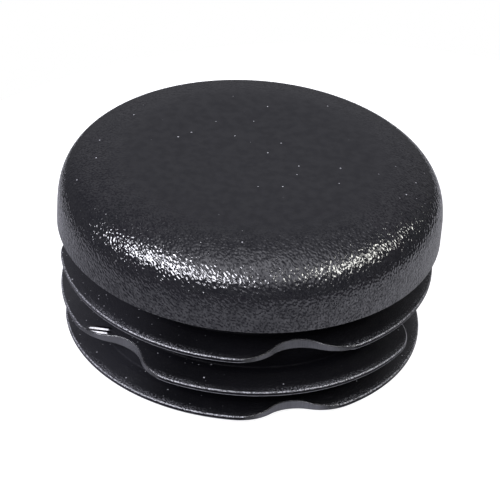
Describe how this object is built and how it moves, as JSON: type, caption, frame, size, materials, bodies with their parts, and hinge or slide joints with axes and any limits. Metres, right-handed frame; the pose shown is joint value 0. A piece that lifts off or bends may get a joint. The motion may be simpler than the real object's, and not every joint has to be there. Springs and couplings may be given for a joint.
{
  "type": "tube end cap",
  "caption": "Round ribbed end cap that closes the end of a steel tube: a rounded head over a hollow plug with flexible notched fins.",
  "frame": {"origin": "centre of the seat, the ring under the head that meets the tube's end, on the cap's axis", "axes": "+Z along the cap's axis, from the plug out through the head; -Y is the side with a notch of the upper fin 18.5 degrees towards +X"},
  "size_m": [0.0508, 0.0508, 0.0266],
  "materials": {
    "moulded_ldpe": "black moulded low-density polyethylene, leather-grained head, smooth satin fins"
  },
  "bodies": {
    "root": {"end_cap": "moulded_ldpe"}
  },
  "joints": []
}
